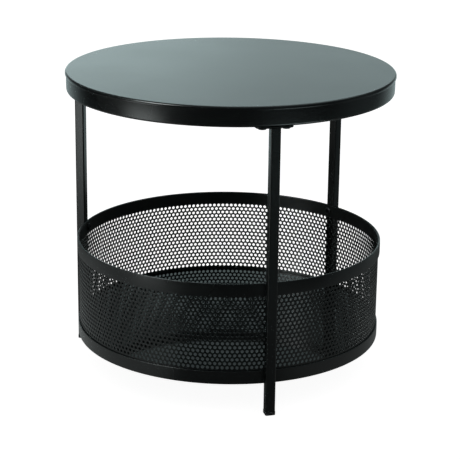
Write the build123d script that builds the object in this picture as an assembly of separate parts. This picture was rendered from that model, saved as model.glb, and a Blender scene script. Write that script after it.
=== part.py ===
from build123d import *
import math
import os

# Round side table in black steel: a pressed top on an angle ring, three square-tube legs that stand
# outside a perforated storage basket, and screws that hold the legs to the top and to the basket.
# Millimetres, +Z up, origin on the ground at the table's centre. The front leg stands on the -Y axis.

# Overall sizes
table_height = 416.0
top_diameter = 450.0

# Top: a pressed sheet whose lip closes over the rim, an angle ring with its flange at the bottom
top_sheet = 1.2
top_lip_height = 5.0
top_edge_radius = 2.4
rim_height = 25.8
rim_thickness = 2.0
rim_flange_width = 22.0
nesting_gap = 0.1

# Legs: square tube, a little proud of the rim, with a plastic foot plugged into the lower end
leg_names = ("front", "right", "left")
leg_side = 13.0
leg_wall = 1.2
leg_corner_radius = 1.8
leg_proud = 1.3
foot_height = 5.0
foot_overhang = 0.4
foot_bottom_radius = 1.0
foot_plug_length = 14.0
foot_plug_gap = 0.2

# Plate welded to each leg's upper end, and the two screws and weld nuts that hold it to the rim
plate_length = 49.0
plate_width = 20.0
plate_thickness = 2.0
plate_corner_radius = 7.0
plate_setback = 0.5
plate_screw_spacing = 31.2
plate_screw_setback = 8.0
top_screw_diameter = 6.0
top_screw_length = 10.0
top_screw_head_diameter = 11.5
top_screw_head_height = 2.2
weld_nut_across_flats = 10.0
weld_nut_height = 5.0

# Basket: two flat-bar rings, a perforated sheet inside them, and a flanged floor
basket_bottom = 41.0
basket_height = 139.0
ring_height = 18.0
ring_thickness = 2.0
wall_sheet = 1.0
wall_setback = 1.0
floor_sheet = 1.2
floor_flange_height = 14.0
floor_edge_radius = 1.5
floor_setback = 1.0

# Screws from inside the basket into rivet nuts in each leg
basket_screw_diameter = 5.0
basket_screw_length = 11.0
basket_screw_head_diameter = 10.0
basket_screw_head_height = 2.4
rivet_nut_diameter = 7.0
rivet_nut_length = 8.0
rivet_nut_collar_gap = 0.1
rivet_nut_collar_height = 2.0

# Every screw's clearances, and the socket and rounded crown of its head
screw_hole_gap = 0.3
thread_gap = 0.05
socket_share_of_shank = 0.6
socket_share_of_head = 0.6
crown_share_of_head = 0.6

# The tightest bend that sheet and tube take
sharpest_bend = 0.1


def inside_bend(outside_bend, wall):
    """The bend radius on the inner side of a wall that is bent to a given outer radius."""
    return max(outside_bend - wall, sharpest_bend)


# Worked out from the sizes above
top_radius = top_diameter / 2
rim_radius = top_radius - top_sheet - nesting_gap
rim_top = table_height - top_sheet
rim_bottom = rim_top - rim_height
leg_outer_face = rim_radius + leg_proud
leg_centre = leg_outer_face - leg_side / 2
leg_inner_face = leg_outer_face - leg_side
leg_top = rim_bottom - plate_thickness
leg_bore = leg_side - 2 * leg_wall
leg_bore_corner = inside_bend(leg_corner_radius, leg_wall)
rivet_nut_collar_diameter = leg_bore - 2 * leg_bore_corner - 2 * rivet_nut_collar_gap
plate_outer_radius = rim_radius - plate_setback
plate_screw_radius = plate_outer_radius - plate_screw_setback
basket_radius = leg_inner_face
basket_top = basket_bottom + basket_height
wall_radius = basket_radius - ring_thickness
wall_inner_radius = wall_radius - wall_sheet
floor_radius = wall_inner_radius - nesting_gap
floor_top = basket_bottom + ring_height - floor_setback
upper_screw_level = basket_top - ring_height / 2
lower_screw_level = floor_top - floor_sheet - (ring_height - floor_setback - floor_sheet) / 2
screw_levels = (lower_screw_level, upper_screw_level)

STANDING = (Align.CENTER, Align.CENTER, Align.MIN)


def drum(radius, bottom, top):
    """A cylinder on the table's axis between two heights."""
    return Pos(0, 0, bottom) * Cylinder(radius, top - bottom, align=STANDING)


def hoop(outer, inner, bottom, top):
    """A ring on the table's axis between two heights."""
    return drum(outer, bottom, top) - drum(inner, bottom, top)


def upper_rim_edge(shape):
    """The outermost circular edge at a turned shape's upper end."""
    return shape.edges().group_by(Axis.Z)[-1].sort_by(SortBy.RADIUS)[-1]


def pressed_pan(radius, sheet, depth, top, edge_radius):
    """A round sheet with its edge turned down, as a pressing: flat top, rounded shoulder, upright lip."""
    outside = drum(radius, top - depth, top)
    outside = fillet(upper_rim_edge(outside), edge_radius)
    hollow = drum(radius - sheet, top - depth, top - sheet)
    hollow = fillet(upper_rim_edge(hollow), inside_bend(edge_radius, sheet))
    return outside - hollow


def radial_bore(diameter, level, start, end):
    """A cylinder across the front leg's line, from radius start out to radius end, at one height."""
    along = Pos(0, -start, level) * Rot(90, 0, 0)
    return along * Cylinder(diameter / 2, end - start, align=STANDING)


def at_each_leg(shape):
    """Copies of a front-leg shape turned to the places of all the legs."""
    return [Rot(0, 0, 360 / len(leg_names) * turn) * shape for turn in range(len(leg_names))]


def drilled_for_legs(shape, levels, start, end):
    """The shape with a basket screw's clearance hole at each leg and level."""
    diameter = basket_screw_diameter + 2 * screw_hole_gap
    for level in levels:
        shape -= at_each_leg(radial_bore(diameter, level, start, end))
    return shape


def socket_screw(diameter, length, head_diameter, head_height):
    """A low-head screw along +Z: head below its seat at zero, shank above, hexagon socket in the head."""
    head = Pos(0, 0, -head_height) * Cylinder(head_diameter / 2, head_height, align=STANDING)
    crown = head.edges().group_by(Axis.Z)[0]
    head = fillet(crown, head_height * crown_share_of_head)
    socket = RegularPolygon(diameter * socket_share_of_shank / 2, 6, major_radius=False)
    head -= Pos(0, 0, -head_height) * extrude(socket, head_height * socket_share_of_head)
    return head + Cylinder(diameter / 2, length, align=STANDING)


def make_top_panel():
    return pressed_pan(top_radius, top_sheet, top_lip_height, table_height, top_edge_radius)


def plate_screw_places():
    """Centres of the two screws at the front leg, seen from above."""
    half = plate_screw_spacing / 2
    return [(-half, -plate_screw_radius), (half, -plate_screw_radius)]


def plate_screw_holes(bottom, top):
    """The clearance holes of the front leg's two top screws."""
    radius = top_screw_diameter / 2 + screw_hole_gap
    hole = Cylinder(radius, top - bottom, align=STANDING)
    return [Pos(x, y, bottom) * hole for x, y in plate_screw_places()]


def make_top_rim():
    """An angle ring: an upright band rounded to fit the top's bend, with a flange turned inward."""
    band = hoop(rim_radius, rim_radius - rim_thickness, rim_bottom, rim_top)
    band = fillet(upper_rim_edge(band), inside_bend(top_edge_radius, top_sheet))
    flange_inner = rim_radius - rim_flange_width
    rim = band + hoop(rim_radius, flange_inner, rim_bottom, rim_bottom + rim_thickness)
    for hole in plate_screw_holes(rim_bottom, rim_bottom + rim_thickness):
        rim -= at_each_leg(hole)
    return rim


def make_leg():
    """Square tube from the foot to the plate, with two holes in its inner face for the rivet nuts."""
    section = RectangleRounded(leg_side, leg_side, leg_corner_radius)
    section -= RectangleRounded(leg_bore, leg_bore, leg_bore_corner)
    leg = Pos(0, -leg_centre, foot_height) * extrude(section, leg_top - foot_height)
    for level in screw_levels:
        hole = rivet_nut_diameter + 2 * thread_gap
        leg -= radial_bore(hole, level, leg_inner_face, leg_inner_face + leg_wall)
    return leg


def make_foot():
    """A plastic cap a little wider than the tube, with a plug that goes up inside it."""
    side = leg_side + 2 * foot_overhang
    cap = extrude(RectangleRounded(side, side, leg_corner_radius + foot_overhang), foot_height)
    cap = fillet(cap.edges().group_by(Axis.Z)[0], foot_bottom_radius)
    plug_side = leg_bore - 2 * foot_plug_gap
    plug_outline = RectangleRounded(plug_side, plug_side, leg_bore_corner + foot_plug_gap)
    plug = extrude(plug_outline, foot_plug_length)
    return Pos(0, -leg_centre, 0) * (cap + Pos(0, 0, foot_height) * plug)


def make_leg_plate():
    """A flat plate under the rim's flange, its outer edge following the rim."""
    middle = plate_outer_radius - plate_width / 2
    outline = Pos(0, -middle) * RectangleRounded(plate_length, plate_width, plate_corner_radius)
    outline &= Circle(plate_outer_radius)
    plate = Pos(0, 0, leg_top) * extrude(outline, plate_thickness)
    return plate - plate_screw_holes(leg_top, rim_bottom)


def make_top_screws():
    """Two screws, heads below the plate."""
    screw = socket_screw(top_screw_diameter, top_screw_length, top_screw_head_diameter, top_screw_head_height)
    return Compound([Pos(x, y, leg_top) * screw for x, y in plate_screw_places()])


def make_weld_nuts():
    """Two hexagon nuts on the rim's flange."""
    outline = RegularPolygon(weld_nut_across_flats / 2, 6, major_radius=False)
    outline -= Circle(top_screw_diameter / 2 + thread_gap)
    nut = extrude(outline, weld_nut_height)
    return Compound([Pos(x, y, rim_bottom + rim_thickness) * nut for x, y in plate_screw_places()])


def make_basket_ring(bottom, level):
    """A flat-bar ring, drilled at one level for the legs' screws."""
    ring = hoop(basket_radius, wall_radius, bottom, bottom + ring_height)
    return drilled_for_legs(ring, [level], wall_inner_radius, basket_radius)


def make_basket_wall():
    """The upright sheet inside both rings, as a plain skin without its perforations."""
    wall = hoop(wall_radius, wall_inner_radius, basket_bottom + wall_setback, basket_top - wall_setback)
    return drilled_for_legs(wall, screw_levels, floor_radius, wall_radius)


def make_basket_floor():
    """The floor, its edge turned down inside the lower part of the wall."""
    pan = pressed_pan(floor_radius, floor_sheet, floor_flange_height, floor_top, floor_edge_radius)
    clear_of_flange = floor_radius - 2 * floor_sheet
    return drilled_for_legs(pan, [lower_screw_level], clear_of_flange, floor_radius)


def seat_radius(surface_radius):
    """Where a flat screw head rests against the hollow side of a curved sheet."""
    return math.sqrt(surface_radius**2 - (basket_screw_head_diameter / 2) ** 2)


def make_basket_screws():
    """One screw through the floor's flange and the lower ring, and one through the upper ring."""
    screw = socket_screw(
        basket_screw_diameter, basket_screw_length, basket_screw_head_diameter, basket_screw_head_height
    )
    surfaces = (floor_radius - floor_sheet, wall_inner_radius)
    seats = zip(screw_levels, surfaces)
    return Compound([Pos(0, -seat_radius(r), level) * Rot(90, 0, 0) * screw for level, r in seats])


def make_rivet_nuts():
    """Threaded inserts, flush with the leg's inner face and swollen behind its wall."""
    bore = basket_screw_diameter + 2 * thread_gap
    collar_start = leg_inner_face + leg_wall
    nuts = []
    for level in screw_levels:
        body = radial_bore(rivet_nut_diameter, level, leg_inner_face, leg_inner_face + rivet_nut_length)
        collar = radial_bore(
            rivet_nut_collar_diameter, level, collar_start, collar_start + rivet_nut_collar_height
        )
        thread = radial_bore(bore, level, leg_inner_face, leg_inner_face + rivet_nut_length)
        nuts.append(body + collar - thread)
    return Compound(nuts)


pieces = {
    "top_panel": make_top_panel(),
    "top_rim": make_top_rim(),
    "basket_top_ring": make_basket_ring(basket_top - ring_height, upper_screw_level),
    "basket_bottom_ring": make_basket_ring(basket_bottom, lower_screw_level),
    "basket_wall": make_basket_wall(),
    "basket_floor": make_basket_floor(),
}
leg_pieces = {
    "leg": make_leg(),
    "foot": make_foot(),
    "leg_plate": make_leg_plate(),
    "top_screws": make_top_screws(),
    "weld_nuts": make_weld_nuts(),
    "basket_screws": make_basket_screws(),
    "rivet_nuts": make_rivet_nuts(),
}
for piece, shape in leg_pieces.items():
    for leg, copy in zip(leg_names, at_each_leg(shape)):
        pieces[f"{leg}_{piece}"] = copy

os.makedirs("parts", exist_ok=True)
for node, shape in pieces.items():
    export_step(shape, f"parts/{node}.step")
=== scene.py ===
import math

import bpy
import numpy as np
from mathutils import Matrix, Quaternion, Vector


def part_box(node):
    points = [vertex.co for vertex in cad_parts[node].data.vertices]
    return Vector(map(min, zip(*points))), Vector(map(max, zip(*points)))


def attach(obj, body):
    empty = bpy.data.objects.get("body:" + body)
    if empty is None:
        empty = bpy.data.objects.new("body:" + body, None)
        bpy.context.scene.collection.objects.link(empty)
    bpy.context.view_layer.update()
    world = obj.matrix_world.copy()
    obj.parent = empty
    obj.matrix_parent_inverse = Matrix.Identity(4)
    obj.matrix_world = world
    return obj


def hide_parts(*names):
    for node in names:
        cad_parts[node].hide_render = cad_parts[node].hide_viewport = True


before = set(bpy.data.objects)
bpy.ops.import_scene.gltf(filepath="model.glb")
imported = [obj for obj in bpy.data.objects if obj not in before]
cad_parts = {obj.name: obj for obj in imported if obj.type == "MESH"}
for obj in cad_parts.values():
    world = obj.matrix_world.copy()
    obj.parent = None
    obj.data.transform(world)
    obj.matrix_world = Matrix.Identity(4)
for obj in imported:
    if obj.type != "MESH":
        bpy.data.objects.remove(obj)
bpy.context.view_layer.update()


# Camera
# A long lens that stands well back, looks down on the table from the left of its front leg, and
# leans by less than a degree.
lens_length = 128.36
film_width = 36.0
view_azimuth = -14.87
view_elevation = 17.59
view_lean = 0.73
view_distance = 2.3017
view_aim = Vector((0.0016, -0.0004, 0.1864))


def direction_to(azimuth, elevation):
    """The unit vector that points to a place seen from the table: azimuth turns from -Y towards +X
    and elevation rises from the ground, both in degrees."""
    a, e = math.radians(azimuth), math.radians(elevation)
    return Vector((math.sin(a) * math.cos(e), -math.cos(a) * math.cos(e), math.sin(e)))


towards_camera = direction_to(view_azimuth, view_elevation)
camera = bpy.data.objects.new("camera", bpy.data.cameras.new("camera"))
camera.data.sensor_width = film_width
camera.data.lens = lens_length
camera.location = view_aim + view_distance * towards_camera
camera.rotation_mode = "QUATERNION"
lean = Quaternion((0, 0, 1), math.radians(view_lean))
camera.rotation_quaternion = towards_camera.to_track_quat("Z", "Y") @ lean
bpy.context.scene.collection.objects.link(camera)
bpy.context.scene.camera = camera
bpy.context.scene.view_settings.view_transform = "Standard"


# Studio
# A wide pale floor that only the camera sees, under a surrounding of soft light: pale behind the
# table, dark towards the camera, with a lamp high on the left and a low light on the right. A dim
# mat under the table is painted shade: it stands in for the floor in the table's shade, with
# painted light growing to its sides. It and a low glowing card beside it are there for the shiny
# faces alone.
floor_half = 9.0
floor_level = -0.0004
floor_colour = (0.5, 0.505, 0.505, 1)
floor_glow = 0.93
fill_strength = 0.34
cool = (0.8, 1.0, 1.01)
neutral = (0.93, 1.0, 0.99)

# Each patch of light: turn from the camera's side, rise, core angle, reach angle, strength, colour.
light_patches = (
    (-55, 28, 7, 18, 15.0, neutral),
    (52, -46, 9, 22, 4.5, cool),
    (34, -14, 2, 15, 0.12, cool),
    (-80, -18, 8, 24, 0.12, neutral),
    (100, -20, 8, 26, 0.14, cool),
    (180, -35, 20, 62, 0.75, cool),
    (180, 4, 9.5, 20, 0.37, cool),
    (-171, 6, 4, 12, 0.66, cool),
    (150, 62, 8, 28, 1.6, cool),
    (0, 90, 40, 100, 0.23, cool),
    (0, -90, 10, 58, 1.0, cool),
    (0, -30, 60, 120, 0.015, cool),
)


def node(tree, kind, **settings):
    """Adds a shader node and sets its inputs, or its properties where no input has the name."""
    made = tree.nodes.new(kind)
    for name, value in settings.items():
        if name in made.inputs:
            made.inputs[name].default_value = value
        else:
            setattr(made, name, value)
    return made


def calculate(tree, kind, operation, first, second):
    """One Math or Vector Math node on two values, each a socket or a constant."""
    made = node(tree, kind, operation=operation)
    wanted = [socket for socket in made.inputs if socket.enabled]
    for socket, value in zip(wanted, (first, second)):
        if isinstance(value, bpy.types.NodeSocket):
            tree.links.new(value, socket)
        else:
            socket.default_value = value
    return next(socket for socket in made.outputs if socket.enabled)


def ramp(tree, value, start, end, low, high):
    """A value mapped from the range start to end onto low to high, as a smooth step."""
    made = node(tree, "ShaderNodeMapRange", interpolation_type="SMOOTHSTEP")
    for name, number in (("From Min", start), ("From Max", end), ("To Min", low), ("To Max", high)):
        made.inputs[name].default_value = number
    tree.links.new(value, made.inputs["Value"])
    return made.outputs["Result"]


def light_patch(tree, direction, turn, rise, core, reach, strength, colour):
    """One round patch of light: its full colour within the core angle from its centre, fading to
    nothing at the reach angle, as a smooth step of the cosine between the two directions."""
    centre = direction_to(view_azimuth + turn, rise)
    nearness = calculate(tree, "ShaderNodeVectorMath", "DOT_PRODUCT", direction, centre)
    edge, full = math.cos(math.radians(reach)), math.cos(math.radians(core))
    fade = ramp(tree, nearness, edge, full, 0, strength)
    return calculate(tree, "ShaderNodeVectorMath", "SCALE", colour, fade)


def light_the_room():
    """The surrounding light. A shiny face reflects the sum of the patches; the camera sees plain
    white, and a matt face is lit by a plain grey."""
    world = bpy.data.worlds.new("studio")
    bpy.context.scene.world = world
    world.use_nodes = True
    tree = world.node_tree
    tree.nodes.clear()
    direction = node(tree, "ShaderNodeTexCoord").outputs["Generated"]
    seen = (0.0, 0.0, 0.0)
    for patch in light_patches:
        seen = calculate(tree, "ShaderNodeVectorMath", "ADD", light_patch(tree, direction, *patch), seen)
    rays = node(tree, "ShaderNodeLightPath").outputs
    shiny = calculate(tree, "ShaderNodeVectorMath", "SCALE", seen, rays["Is Glossy Ray"])
    fill = calculate(tree, "ShaderNodeMath", "MULTIPLY", rays["Is Diffuse Ray"], fill_strength)
    plain = calculate(tree, "ShaderNodeMath", "ADD", rays["Is Camera Ray"], fill)
    white = calculate(tree, "ShaderNodeVectorMath", "SCALE", (1.0, 1.0, 1.0), plain)
    total = calculate(tree, "ShaderNodeVectorMath", "ADD", shiny, white)
    background = node(tree, "ShaderNodeBackground")
    output = node(tree, "ShaderNodeOutputWorld")
    tree.links.new(total, background.inputs["Color"])
    tree.links.new(background.outputs[0], output.inputs["Surface"])


def flat_square(name, half, level):
    """A square of a given half width lying level about the origin."""
    corners = half * np.array(((-1, -1), (1, -1), (1, 1), (-1, 1)))
    mesh = bpy.data.meshes.new(name)
    mesh.from_pydata(np.column_stack((corners, np.full(4, level))).tolist(), [], [(0, 1, 2, 3)])
    made = bpy.data.objects.new(name, mesh)
    bpy.context.scene.collection.objects.link(made)
    return made


light_the_room()

studio_floor = flat_square("studio_floor", floor_half, floor_level)
paper = bpy.data.materials.new("studio_paper")
paper.use_nodes = True
paper_shader = paper.node_tree.nodes["Principled BSDF"]
paper_shader.inputs["Base Color"].default_value = floor_colour
paper_shader.inputs["Roughness"].default_value = 1.0
paper_shader.inputs["Specular IOR Level"].default_value = 0.0
paper_shader.inputs["Emission Color"].default_value = (1, 1, 1, 1)
paper_shader.inputs["Emission Strength"].default_value = floor_glow
studio_floor.data.materials.append(paper)
studio_floor.visible_glossy = False
studio_floor.visible_diffuse = False
studio_floor.visible_shadow = False

# The mat is painted shade for the shiny faces: a dim sheet where the table shades the floor, with
# painted light growing to its left and right.
mat_half = 1.2
mat_turn = -135
mat_offset = 0.212
mat_core = 0.72
mat_reach = 0.9
mat_painted_shade_glow = 0.05
left_glow_turn = -120.5
left_glow_from = -0.045
left_glow_to = 0.025
left_glow_strength = 0.31
right_glow_turn = 115
right_glow_from = -0.05
right_glow_to = 0.12
right_glow_strength = 0.15
back_from = 0.0
back_to = 0.5
back_share = 0.3


def veiled_glow(tree, colour, strength, cover):
    """Ends a material that glows with a given strength where the cover is one and is clear where
    it is nothing. The strength is a constant or a socket."""
    glow = node(tree, "ShaderNodeEmission", Color=(*colour, 1))
    if isinstance(strength, bpy.types.NodeSocket):
        tree.links.new(strength, glow.inputs["Strength"])
    else:
        glow.inputs["Strength"].default_value = strength
    clear = node(tree, "ShaderNodeBsdfTransparent")
    blend = node(tree, "ShaderNodeMixShader")
    output = node(tree, "ShaderNodeOutputMaterial")
    tree.links.new(cover, blend.inputs["Fac"])
    tree.links.new(clear.outputs[0], blend.inputs[1])
    tree.links.new(glow.outputs[0], blend.inputs[2])
    tree.links.new(blend.outputs[0], output.inputs["Surface"])


def empty_material(name):
    """A new material with no nodes, its node tree, and the place on the surface as a socket."""
    material = bpy.data.materials.new(name)
    material.use_nodes = True
    tree = material.node_tree
    tree.nodes.clear()
    return material, tree, node(tree, "ShaderNodeTexCoord").outputs["Object"]


def painted_shade_mat_look():
    """The mat's look, painted shade and painted light for the shiny faces: it hides what is under it
    within its core distance of its centre and not at all at its reach, and stands there for the
    floor in the table's shade. A dim glow all over grows to the left of one line near the table's
    middle and to the right of another, by the place's distance from each line, and falls to a share
    of that towards the back."""
    material, tree, place = empty_material("studio_painted_shade_mat")
    centre = mat_offset * direction_to(view_azimuth + mat_turn, 0)
    away = calculate(tree, "ShaderNodeVectorMath", "DISTANCE", place, centre)
    cover = ramp(tree, away, mat_reach, mat_core, 0, 1)
    glow = mat_painted_shade_glow
    for turn, start, end, strength in (
        (left_glow_turn, left_glow_from, left_glow_to, left_glow_strength),
        (right_glow_turn, right_glow_from, right_glow_to, right_glow_strength),
    ):
        across = direction_to(view_azimuth + turn, 0)
        beyond = calculate(tree, "ShaderNodeVectorMath", "DOT_PRODUCT", place, across)
        side = ramp(tree, beyond, start, end, 0, strength)
        glow = calculate(tree, "ShaderNodeMath", "ADD", side, glow)
    backward = direction_to(view_azimuth + 180, 0)
    behind = calculate(tree, "ShaderNodeVectorMath", "DOT_PRODUCT", place, backward)
    share = ramp(tree, behind, back_from, back_to, 1, back_share)
    glow = calculate(tree, "ShaderNodeMath", "MULTIPLY", share, glow)
    veiled_glow(tree, neutral, glow, cover)
    return material


# The mat under the table: painted shade, seen only by the shiny faces.
studio_painted_shade_mat = flat_square("studio_painted_shade_mat", mat_half, floor_level * 2)
studio_painted_shade_mat.data.materials.append(painted_shade_mat_look())

card_turn = -50.6
card_distance = 0.597
card_half_width = 0.17
card_core = 0.03
card_height = 0.36
card_dark_below = -0.02
card_bright_from = 0.25
card_bright_to = 0.27
card_strength = 3.3


def glowing_card():
    """The low card: an upright rectangle that faces the table. It glows towards its middle as
    smooth steps of the distance to either side and of the height."""
    facing = np.array(direction_to(view_azimuth + card_turn, 0))
    sideways = np.cross((0, 0, 1), facing)
    spread = card_half_width * np.array((-1, 1, 1, -1))
    heights = card_height * np.array((0, 0, 1, 1))
    places = facing * card_distance + np.outer(spread, sideways) + np.outer(heights, (0, 0, 1))
    mesh = bpy.data.meshes.new("studio_card")
    mesh.from_pydata(places.tolist(), [], [(0, 1, 2, 3)])
    card = bpy.data.objects.new("studio_card", mesh)
    bpy.context.scene.collection.objects.link(card)
    material, tree, place = empty_material("studio_card")
    height = node(tree, "ShaderNodeSeparateXYZ")
    tree.links.new(place, height.inputs[0])
    height = height.outputs["Z"]
    across = calculate(tree, "ShaderNodeVectorMath", "DOT_PRODUCT", place, tuple(sideways))
    aside = calculate(tree, "ShaderNodeMath", "ABSOLUTE", across, 0)
    cover = ramp(tree, aside, card_half_width, card_core, 0, 1)
    rising = ramp(tree, height, card_dark_below, card_bright_from, 0, 1)
    falling = ramp(tree, height, card_height, card_bright_to, 0, 1)
    cover = calculate(tree, "ShaderNodeMath", "MULTIPLY", cover, rising)
    cover = calculate(tree, "ShaderNodeMath", "MULTIPLY", cover, falling)
    veiled_glow(tree, neutral, card_strength, cover)
    mesh.materials.append(material)
    return card


studio_card = glowing_card()
for unseen in (studio_painted_shade_mat, studio_card):
    unseen.visible_camera = False
    unseen.visible_diffuse = False
    unseen.visible_shadow = False


# Top
# A steel sheet pressed into a shallow round pan: flat, with a rounded shoulder and a short lip
# turned down over the rim. Its smooth semi-gloss black powder coat shows a faint orange peel.
top_edge_bend = 0.0024
top_sheet = 0.0012
top_hem = 0.001
inner_hem = 0.0001
top_divisions = 0.02
around_top = 360
smooth_below = 35
top_colour = (0.0075, 0.0092, 0.0094)
top_roughness = 0.2
top_peel = 0.000012
coat_ior = 1.5
coat_darkest = 0.8
coat_lightest = 1.25
patch_scale = 9.0
peel_scale = 620.0
coat_grain_scale = 2600.0
coat_grain_share = 0.15


def vertices_of(node_name):
    """A CAD node's vertices as an array of rows x, y, z."""
    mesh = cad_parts[node_name].data
    places = np.empty(len(mesh.vertices) * 3, np.float32)
    mesh.vertices.foreach_get("co", places)
    return places.reshape(-1, 3).astype(float)


def radii_of(node_name):
    """Smallest and largest distance of a CAD node's vertices from the table's axis."""
    places = vertices_of(node_name)
    away = np.hypot(places[:, 0], places[:, 1])
    return away.min(), away.max()


def rounded_outline(corners, steps=6, hold=0.0002):
    """A closed outline with its corners rounded. Each corner is (x, y, radius): the arc starts and
    ends at radius over the tangent of half the corner's angle from it, and its centre lies on the
    corner's bisector at radius over the sine of that half angle. A point on each straight, the
    hold length from the arc, keeps the flats flat under smooth shading."""
    outline = []
    for i, (x, y, radius) in enumerate(corners):
        here = np.array((x, y))
        if radius <= 0:
            outline.append(here[None])
            continue
        before = np.array(corners[i - 1][:2]) - here
        after = np.array(corners[(i + 1) % len(corners)][:2]) - here
        before /= np.linalg.norm(before)
        after /= np.linalg.norm(after)
        half = math.acos(np.clip(before @ after, -1, 1)) / 2
        bisector = (before + after) / np.linalg.norm(before + after)
        centre = here + bisector * radius / math.sin(half)
        reach = radius / math.tan(half)
        start, end = here + before * reach, here + after * reach
        first = math.atan2(*(start - centre)[::-1])
        sweep = (math.atan2(*(end - centre)[::-1]) - first + math.pi) % (2 * math.pi) - math.pi
        angles = first + sweep * np.linspace(0, 1, steps + 1)
        arc = centre + radius * np.stack((np.cos(angles), np.sin(angles)), 1)
        outline += [start + before * hold, arc, end + after * hold]
    return np.vstack(outline)


def divided(outline, longest):
    """The closed outline with its long edges divided so that none is longer than a given length."""
    points = []
    for here, after in zip(outline, np.roll(outline, -1, axis=0)):
        pieces = max(1, math.ceil(np.linalg.norm(after - here) / longest))
        points.append(here + (after - here) * np.linspace(0, 1, pieces, endpoint=False)[:, None])
    return np.concatenate(points)


def grid_quads(rings, around, joined):
    """Quads between neighbouring points of neighbouring rings. Each ring closes on itself, and the
    last ring meets the first where they are joined."""
    index = np.arange(rings * around).reshape(rings, around)
    following = np.roll(index, -1, axis=1)
    next_ring = np.roll(index, -1, axis=0)
    next_following = np.roll(following, -1, axis=0)
    quads = np.stack((index, following, next_following, next_ring), -1)
    return quads[:rings if joined else rings - 1].reshape(-1, 4)


def mesh_object(name, places, face_groups, crease=smooth_below):
    """An object from an array of vertex places and arrays of faces, one array for each number of
    sides, shaded smooth up to a crease angle in degrees."""
    sides = np.concatenate([np.full(len(group), group.shape[1]) for group in face_groups])
    corners = np.concatenate([group.ravel() for group in face_groups])
    mesh = bpy.data.meshes.new(name)
    mesh.vertices.add(len(places))
    mesh.loops.add(len(corners))
    mesh.polygons.add(len(sides))
    mesh.vertices.foreach_set("co", np.ascontiguousarray(places, np.float32).ravel())
    mesh.loops.foreach_set("vertex_index", corners.astype(np.int32))
    mesh.polygons.foreach_set("loop_start", (np.cumsum(sides) - sides).astype(np.int32))
    mesh.update(calc_edges=True)
    mesh.shade_smooth()
    mesh.set_sharp_from_angle(angle=math.radians(crease))
    made = bpy.data.objects.new(name, mesh)
    bpy.context.scene.collection.objects.link(made)
    return made


def turned(name, outline, around):
    """A body of revolution about the table's axis: each outline point (radius, height) becomes a
    ring of points at radius times the cosine and sine of the angle. An outline runs anticlockwise;
    one that starts and ends on the axis closes there in two single points."""
    angles = np.linspace(0, 2 * math.pi, around, endpoint=False)
    solid = outline[0, 0] == 0
    rings = outline[1:-1] if solid else outline
    radius, height = rings[:, 0, None], rings[:, 1, None] + np.zeros(around)
    places = np.stack((radius * np.cos(angles), radius * np.sin(angles), height), -1).reshape(-1, 3)
    faces = [grid_quads(len(rings), around, joined=not solid)]
    if solid:
        pole = np.full(around, len(places))
        ring = np.arange(around)
        after = np.roll(ring, -1)
        last_ring = len(places) - around
        faces.append(np.stack((pole, after, ring), 1))
        faces.append(np.stack((last_ring + ring, last_ring + after, pole + 1), 1))
        places = np.vstack((places, (0, 0, outline[0, 1]), (0, 0, outline[-1, 1])))
    return mesh_object(name, places, faces)


def pan_outline(radius, lip, level, sheet, bend, hem, longest):
    """The section of a pressed round pan from the middle of its underside, along it, down inside
    the lip, round the hem and back over the top to the middle."""
    inner, under = radius - sheet, level - sheet
    corners = [
        (0, under, 0), (inner, under, bend - sheet), (inner, lip, inner_hem),
        (radius, lip, hem), (radius, level, bend), (0, level, 0),
    ]
    outline = rounded_outline(corners)
    return np.vstack((divided(outline, longest)[:-math.ceil((level - under) / longest)], outline[-1:]))


def new_finish(name):
    """A new material, its node tree, its shader, and the place on the surface as a socket."""
    material = bpy.data.materials.new(name)
    material.use_nodes = True
    tree = material.node_tree
    shader = tree.nodes["Principled BSDF"]
    return material, tree, shader, node(tree, "ShaderNodeTexCoord").outputs["Object"]


def noise(tree, place, **settings):
    """A noise over the surface, as a socket between nothing and one."""
    texture = node(tree, "ShaderNodeTexNoise", **settings)
    tree.links.new(place, texture.inputs["Vector"])
    return texture.outputs["Fac"]


def wandering_tone(tree, shader, amount, colour, darkest, lightest):
    """The shader's colour goes from darkest to lightest times the given one as the amount rises."""
    tone = node(tree, "ShaderNodeMix", data_type="RGBA")
    tone.inputs["A"].default_value = (*[c * darkest for c in colour], 1)
    tone.inputs["B"].default_value = (*[c * lightest for c in colour], 1)
    tree.links.new(amount, tone.inputs["Factor"])
    tree.links.new(tone.outputs["Result"], shader.inputs["Base Color"])


def wandering_sheen(tree, shader, amount, smoothest, roughest):
    """The shader's roughness goes from smoothest to roughest as the amount rises."""
    sheen = node(tree, "ShaderNodeMapRange")
    sheen.inputs["To Min"].default_value = smoothest
    sheen.inputs["To Max"].default_value = roughest
    tree.links.new(amount, sheen.inputs["Value"])
    tree.links.new(sheen.outputs["Result"], shader.inputs["Roughness"])


def bumped(tree, height, distance):
    """A bump whose height is the distance times the given socket."""
    bump = node(tree, "ShaderNodeBump", Strength=1.0, Distance=distance)
    tree.links.new(height, bump.inputs["Height"])
    return bump


def powder_coat(name, colour, roughness, peel, sheen_patches=0.04):
    """Black powder coat. The orange peel is a noise bump with waves about 1.6 millimetres long, with
    a finer grain over it; the roughness and the colour wander a little over larger patches."""
    material, tree, shader, place = new_finish(name)
    shader.inputs["IOR"].default_value = coat_ior
    patches = noise(tree, place, Scale=patch_scale, Detail=3.0, Roughness=0.55)
    orange_peel = noise(tree, place, Scale=peel_scale, Detail=2.0, Roughness=0.5)
    grain = noise(tree, place, Scale=coat_grain_scale, Detail=1.0)
    wandering_tone(tree, shader, patches, colour, coat_darkest, coat_lightest)
    wandering_sheen(tree, shader, patches, roughness - sheen_patches, roughness + sheen_patches)
    coarse = bumped(tree, orange_peel, peel)
    fine = bumped(tree, grain, peel * coat_grain_share)
    tree.links.new(coarse.outputs["Normal"], fine.inputs["Normal"])
    tree.links.new(fine.outputs["Normal"], shader.inputs["Normal"])
    return material


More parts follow.
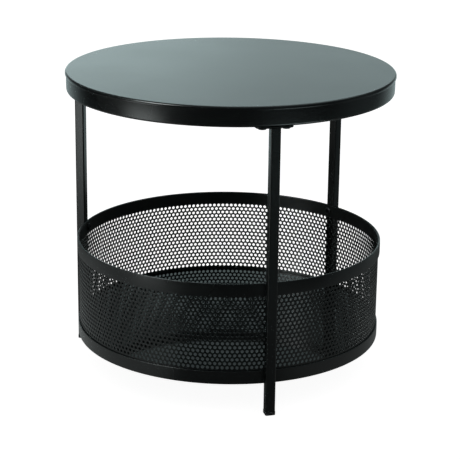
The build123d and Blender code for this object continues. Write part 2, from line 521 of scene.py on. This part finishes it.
def make_top():
    """The pan's section at the CAD piece's own radius and heights, turned about the axis."""
    low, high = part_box("top_panel")
    radius = radii_of("top_panel")[1]
    outline = pan_outline(radius, low.z, high.z, top_sheet, top_edge_bend, top_hem, top_divisions)
    return turned("tabletop", outline, around_top)


top_coat = powder_coat("top_powder_coat", top_colour, top_roughness, top_peel)
tabletop = make_top()
tabletop.data.materials.append(top_coat)
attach(tabletop, "root")
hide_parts("top_panel")


# Rim
# A flat bar rolled into an angle ring: the upright band under the top's lip is faintly crowned by
# the rolling, and its flange turns inward at the bottom, where the legs' plates are screwed on.
rim_thickness = 0.002
rim_crown = 0.0003
rim_corner = 0.003
rim_upper_corner = 0.0009
rim_inside_corner = 0.001
flange_edge = 0.0006
band_divisions = 0.002
frame_colour = (0.006, 0.0075, 0.0075)
frame_roughness = 0.27
frame_peel = 0.000014


def crowned(outline, low, high, face, crown):
    """Pushes the points of the outer face outward by the crown times one minus the square of the
    height's distance from the middle, counted as a share of half the height."""
    share = (outline[:, 1] - (low + high) / 2) / ((high - low) / 2)
    bulge = crown * np.clip(1 - share**2, 0, 1) * (outline[:, 0] > face - crown)
    return outline + np.stack((bulge, np.zeros(len(outline))), 1)


def make_rim():
    """An L-shaped section between the CAD piece's radii and heights, its upright side crowned,
    turned about the axis."""
    low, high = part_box("top_rim")
    inner, outer = radii_of("top_rim")
    outer -= rim_crown
    bottom, top = low.z, high.z
    band = outer - rim_thickness
    corners = [
        (inner, bottom, flange_edge), (outer, bottom, rim_corner), (outer, top, rim_upper_corner),
        (band, top, flange_edge), (band, bottom + rim_thickness, rim_inside_corner),
        (inner, bottom + rim_thickness, flange_edge),
    ]
    outline = divided(rounded_outline(corners), band_divisions)
    return turned("rim", crowned(outline, bottom, top, outer, rim_crown), around_top)


frame_coat = powder_coat("frame_powder_coat", frame_colour, frame_roughness, frame_peel)
rim = make_rim()
rim.data.materials.append(frame_coat)
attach(rim, "root")
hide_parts("top_rim")


# Legs
# Three square steel tubes with rounded corners, open at both ends, coated as the rim is. They run
# from the plates under the rim down to plastic feet.
leg_names = ("front", "right", "left")
leg_corner = 0.0018
leg_wall = 0.0012
leg_turn = {name: math.radians(120 * i) for i, name in enumerate(leg_names)}


def turned_to_leg(rings, leg):
    """The same rings, turned about the table's axis from the front leg's place to another leg's."""
    c, s = math.cos(leg_turn[leg]), math.sin(leg_turn[leg])
    turn = np.array(((c, s, 0), (-s, c, 0), (0, 0, 1)))
    return rings @ turn


def square_outline(side, corner):
    """A square's outline about its own centre, its corners rounded."""
    h = side / 2
    return rounded_outline([(-h, -h, corner), (h, -h, corner), (h, h, corner), (-h, h, corner)])


def stacked(outline, centre, heights):
    """Rings of the same outline about a centre, one at each height."""
    flat = outline + np.array(centre)
    return np.stack([np.column_stack((flat, np.full(len(flat), z))) for z in heights])


leg_low, leg_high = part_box("front_leg")
leg_side = leg_high.x - leg_low.x
leg_centre = (0.0, (leg_low.y + leg_high.y) / 2)
for leg in leg_names:
    bottom, top = leg_low.z, leg_high.z
    outside = stacked(square_outline(leg_side, leg_corner), leg_centre, (bottom, top))
    bore_outline = square_outline(leg_side - 2 * leg_wall, leg_corner - leg_wall)
    bore = stacked(bore_outline, leg_centre, (top, bottom))
    rings = turned_to_leg(np.concatenate((outside, bore)), leg)
    faces = grid_quads(len(rings), rings.shape[1], joined=True)
    tube = mesh_object(f"{leg}_leg_tube", rings.reshape(-1, 3), [faces])
    tube.data.materials.append(frame_coat)
    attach(tube, "root")
    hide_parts(f"{leg}_leg")


# Leg welds
# Each leg is welded to its plate round its three inner sides. The bead of molten steel, coated with
# the frame, keeps the ripples that the torch left.
bead_radius = 0.0013
bead_swell = 0.12
ripple_length = 0.0014
bead_step = 0.00035
bead_sides = 10
bead_tip = 0.97
bead_crease = 80


def weld_bead(name, leg):
    """A tube along the leg's outline at its upper end: each point of the path carries a ring in the
    plane of the vertical and the outward direction there, its radius swelling with the cosine of
    the length along the bead, and shrinking over the last radius at both ends as a ball does, up
    to the tip's share of that radius."""
    half = leg_side / 2
    outline = divided(square_outline(leg_side, leg_corner), bead_step)
    path = outline[outline[:, 1] > leg_corner - half + bead_radius]
    start = np.argmax(np.linalg.norm(path - np.roll(path, 1, axis=0), axis=1))
    path = np.roll(path, -start, axis=0)
    along = np.gradient(path, axis=0)
    along /= np.linalg.norm(along, axis=1)[:, None]
    outward = np.stack((along[:, 1], -along[:, 0]), 1)
    steps = np.linalg.norm(np.diff(path, axis=0), axis=1)
    length = np.concatenate(((0,), np.cumsum(steps)))
    to_end = np.minimum(length, length[-1] - length)
    ball = np.sqrt(1 - np.clip(1 - to_end / bead_radius, 0, bead_tip) ** 2)
    radius = bead_radius * ball * (1 + bead_swell * np.cos(2 * math.pi * length / ripple_length))
    turns = np.linspace(0, 2 * math.pi, bead_sides, endpoint=False)
    flat = path[:, None] + outward[:, None] * (radius[:, None] * np.cos(turns))[..., None]
    height = leg_high.z - radius[:, None] * np.sin(turns)
    rings = np.dstack((flat + np.array(leg_centre), height))
    rings = turned_to_leg(rings, leg)
    last = (len(path) - 1) * bead_sides
    ends = np.stack((np.arange(bead_sides)[::-1], last + np.arange(bead_sides)))
    faces = [grid_quads(len(path), bead_sides, joined=False), ends]
    return mesh_object(name, rings.reshape(-1, 3), faces, bead_crease)


for leg in leg_names:
    bead = weld_bead(f"{leg}_weld_bead", leg)
    bead.data.materials.append(frame_coat)
    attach(bead, "root")


# Basket rings
# Two flat bars rolled on edge and welded into hoops, their edges eased, which hold the perforated
# sheet's upper and lower margins and take the screws from the legs.
ring_edge = 0.0006
around_ring = 360
ring_crown = 0.00012
ring_divisions = 0.003

for ring_name in ("basket_top_ring", "basket_bottom_ring"):
    low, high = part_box(ring_name)
    inner, outer = radii_of(ring_name)
    outer -= ring_crown
    places = ((inner, low.z), (outer, low.z), (outer, high.z), (inner, high.z))
    outline = divided(rounded_outline([(*place, ring_edge) for place in places]), ring_divisions)
    hoop = turned(f"{ring_name}_hoop", crowned(outline, low.z, high.z, outer, ring_crown), around_ring)
    hoop.data.materials.append(frame_coat)
    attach(hoop, "root")
    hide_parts(ring_name)


# Basket wall
# One steel sheet, perforated with staggered round holes and rolled into a drum. The holes stop
# short of plain margins that sit inside the two rings.
holes_around = 204
hole_rows = 18
hole_diameter = 0.0045
first_row = 0.0636
first_hole_turn = math.radians(1.05)
row_spacing = 0.00563
hole_corners = 10
cell_corners = 6
basket_colour = (0.006, 0.0078, 0.0076)
basket_roughness = 0.3
basket_peel = 0.00001


def make_wall():
    """The perforated drum. Hexagonal cells, one round each hole, tile the sheet: cell j of row k
    sits at the angle step times j plus half of k's oddness, turned by the first hole's turn, and
    at first_row plus k row spacings. A cell's side is its row spacing over one and a half, and a
    hole's corners lie on its circle. Every cell joins its six corners to the hole's corners, on
    both faces, and the hole's wall joins the faces. Plain margins run from the first and last
    zigzag of cell corners to the sheet's straight edges."""
    low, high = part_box("basket_wall")
    inner, outer = radii_of("basket_wall")
    step = 2 * math.pi / holes_around
    middle = (inner + outer) / 2
    side = row_spacing / 1.5

    halves = 2 * holes_around
    lines = np.arange(hole_rows + 1)[:, None]
    slots = np.arange(halves)[None]
    below_a_hole = (slots + lines) % 2 == 0
    zigzag = first_row + lines * row_spacing - np.where(below_a_hole, side, side / 2)
    line_angle = np.broadcast_to(slots * step / 2, zigzag.shape)

    row, column, corner = np.meshgrid(
        np.arange(hole_rows), np.arange(holes_around), np.arange(hole_corners), indexing="ij"
    )
    turn = 2 * math.pi * corner / hole_corners + math.pi / 2
    hole_angle = (column + 0.5 * (row % 2)) * step + np.cos(turn) * hole_diameter / 2 / middle
    hole_height = first_row + row * row_spacing + np.sin(turn) * hole_diameter / 2

    edge_angle = slots[0] * step / 2
    flat_angles = np.concatenate((line_angle.ravel(), edge_angle, edge_angle, hole_angle.ravel()))
    flat_angles += first_hole_turn
    heights = np.concatenate(
        (zigzag.ravel(), np.full(halves, low.z), np.full(halves, high.z), hole_height.ravel())
    )
    per_face = len(heights)
    sheet = np.concatenate([
        np.stack((radius * np.sin(flat_angles), -radius * np.cos(flat_angles), heights), 1)
        for radius in (outer, inner)
    ])

    def at_line(line, slot):
        return line * halves + slot % halves

    low_edge = (hole_rows + 1) * halves
    high_edge = low_edge + halves
    first_hole = high_edge + halves

    row, column = np.meshgrid(np.arange(hole_rows), np.arange(holes_around), indexing="ij")
    row, column = row.ravel(), column.ravel()
    middle_slot = 2 * column + row % 2
    hexagon = np.stack([
        at_line(row + 1, middle_slot), at_line(row + 1, middle_slot - 1), at_line(row, middle_slot - 1),
        at_line(row, middle_slot), at_line(row, middle_slot + 1), at_line(row + 1, middle_slot + 1),
    ], 1)
    hole = first_hole + (row * holes_around + column)[:, None] * hole_corners + np.arange(hole_corners)
    nearest = np.round(np.arange(hole_corners + 1) * cell_corners / hole_corners).astype(int)
    outside = []
    for i in range(hole_corners):
        here, after = hole[:, i], hole[:, (i + 1) % hole_corners]
        corner_here = hexagon[:, nearest[i] % cell_corners]
        corner_after = hexagon[:, nearest[i + 1] % cell_corners]
        outside.append(np.stack((here, corner_here, after), 1))
        if nearest[i] != nearest[i + 1]:
            outside.append(np.stack((after, corner_here, corner_after), 1))
    triangles = np.concatenate(outside)
    slots = np.arange(halves)
    low_slots, low_after = low_edge + slots, low_edge + (slots + 1) % halves
    high_slots, high_after = high_edge + slots, high_edge + (slots + 1) % halves
    lower = np.stack((low_slots, low_after, at_line(0, slots + 1), at_line(0, slots)), 1)
    upper = np.stack(
        (at_line(hole_rows, slots), at_line(hole_rows, slots + 1), high_after, high_slots), 1
    )
    margins = np.concatenate((lower, upper))
    ends = np.concatenate([
        np.stack((a, a + per_face, b + per_face, b), 1)
        for a, b in (
            (low_slots, low_after),
            (high_after, high_slots),
            *((hole[:, (i + 1) % hole_corners], hole[:, i]) for i in range(hole_corners)),
        )
    ])
    inward = (slice(None), slice(None, None, -1))
    faces = [triangles, triangles[inward] + per_face, margins, margins[inward] + per_face, ends]
    return mesh_object("perforated_wall", sheet, faces)


basket_coat = powder_coat("basket_powder_coat", basket_colour, basket_roughness, basket_peel)
wall = make_wall()
wall.data.materials.append(basket_coat)
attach(wall, "root")
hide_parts("basket_wall")


# Basket floor
# A round sheet with its edge turned down inside the lower ring, spot-welded there. Its coat has
# flowed out glossier than the rest, so the wall is mirrored in it.
floor_sheet = 0.0012
floor_bend = 0.0015
floor_hem = 0.0004
floor_divisions = 0.02
pan_colour = (0.005, 0.0072, 0.0072)
pan_roughness = 0.05
pan_peel = 0.000001
pan_sheen_patches = 0.012


def make_basket_floor():
    """The same kind of pan as the top, at the CAD floor's own radius and heights."""
    low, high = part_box("basket_floor")
    radius = radii_of("basket_floor")[1]
    outline = pan_outline(radius, low.z, high.z, floor_sheet, floor_bend, floor_hem, floor_divisions)
    return turned("basket_floor_pan", outline, around_ring)


floor_coat = powder_coat("basket_floor_coat", pan_colour, pan_roughness, pan_peel, pan_sheen_patches)
floor_pan = make_basket_floor()
floor_pan.data.materials.append(floor_coat)
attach(floor_pan, "root")
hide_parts("basket_floor")


# Leg plates
# A cut steel plate on the end of each leg lies under the rim's flange and takes two screws. Its
# designed shape is right, so it is the CAD piece with its loose triangles joined and smoothed.
copy_crease = 40
merge_digits = 7


def joined_copy(node_name, name):
    """A copy of a CAD node with its coinciding vertices merged, found by rounding their places."""
    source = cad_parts[node_name].data
    places = vertices_of(node_name)
    _, first, same = np.unique(
        np.round(places, merge_digits), axis=0, return_index=True, return_inverse=True
    )
    loops = np.empty(len(source.loops), np.int32)
    source.loops.foreach_get("vertex_index", loops)
    triangles = same.ravel()[loops].reshape(-1, 3)
    whole = (triangles != np.roll(triangles, 1, axis=1)).all(axis=1)
    return mesh_object(name, places[first], [triangles[whole]], copy_crease)


def finished_copies(piece, material):
    """Stands a joined copy, in its own finish, for this piece of each leg."""
    for leg in leg_names:
        copy = joined_copy(f"{leg}_{piece}", f"{leg}_{piece}_finished")
        copy.data.materials.append(material)
        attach(copy, "root")
        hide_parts(f"{leg}_{piece}")


finished_copies("leg_plate", frame_coat)


# Feet
# Moulded black plastic plugs, pressed into the legs' lower ends, with a flange that the table
# stands on.
foot_colour = (0.012, 0.012, 0.013)
foot_smoothest = 0.45
foot_roughest = 0.62
foot_darkest = 0.75
foot_lightest = 1.3
foot_grain_scale = 1800.0
foot_grain_depth = 0.00002
foot_patch_scale = 60.0


def moulded_plastic(name, colour):
    """Matt black moulded plastic: a fine spark-eroded grain in the bump, and slow changes of tone
    and sheen."""
    material, tree, shader, place = new_finish(name)
    grain = noise(tree, place, Scale=foot_grain_scale, Detail=2.0)
    slow = noise(tree, place, Scale=foot_patch_scale, Detail=2.0)
    wandering_tone(tree, shader, slow, colour, foot_darkest, foot_lightest)
    wandering_sheen(tree, shader, slow, foot_smoothest, foot_roughest)
    bump = bumped(tree, grain, foot_grain_depth)
    tree.links.new(bump.outputs["Normal"], shader.inputs["Normal"])
    return material


foot_plastic = moulded_plastic("foot_plastic", foot_colour)
finished_copies("foot", foot_plastic)


# Screws
# Socket button-head screws of blackened steel: two hold each leg's plate to the rim, and two more
# hold the basket's rings to the leg.
oxide_colour = (0.05, 0.05, 0.053)
oxide_roughness = 0.35
plating_darkest = 0.7
plating_lightest = 1.2
plating_smoother = 0.08
plating_rougher = 0.1
plating_scale = 350.0
plating_depth = 0.00001


def plated_steel(name, colour, roughness):
    """Plated or blackened steel: metal whose tone, roughness and faint bump share one cloudy noise."""
    material, tree, shader, place = new_finish(name)
    shader.inputs["Metallic"].default_value = 1.0
    cloud = noise(tree, place, Scale=plating_scale, Detail=3.0)
    wandering_tone(tree, shader, cloud, colour, plating_darkest, plating_lightest)
    wandering_sheen(tree, shader, cloud, roughness - plating_smoother, roughness + plating_rougher)
    bump = bumped(tree, cloud, plating_depth)
    tree.links.new(bump.outputs["Normal"], shader.inputs["Normal"])
    return material


black_oxide = plated_steel("black_oxide", oxide_colour, oxide_roughness)
finished_copies("top_screws", black_oxide)
finished_copies("basket_screws", black_oxide)


# Nuts
# Zinc-plated nuts, out of sight in use: welded to the rim's flange over each plate, and riveted
# into the legs' inner walls behind the basket's rings.
zinc_colour = (0.55, 0.57, 0.6)
zinc_roughness = 0.3
zinc_plate = plated_steel("zinc_plate", zinc_colour, zinc_roughness)
finished_copies("weld_nuts", zinc_plate)
finished_copies("rivet_nuts", zinc_plate)
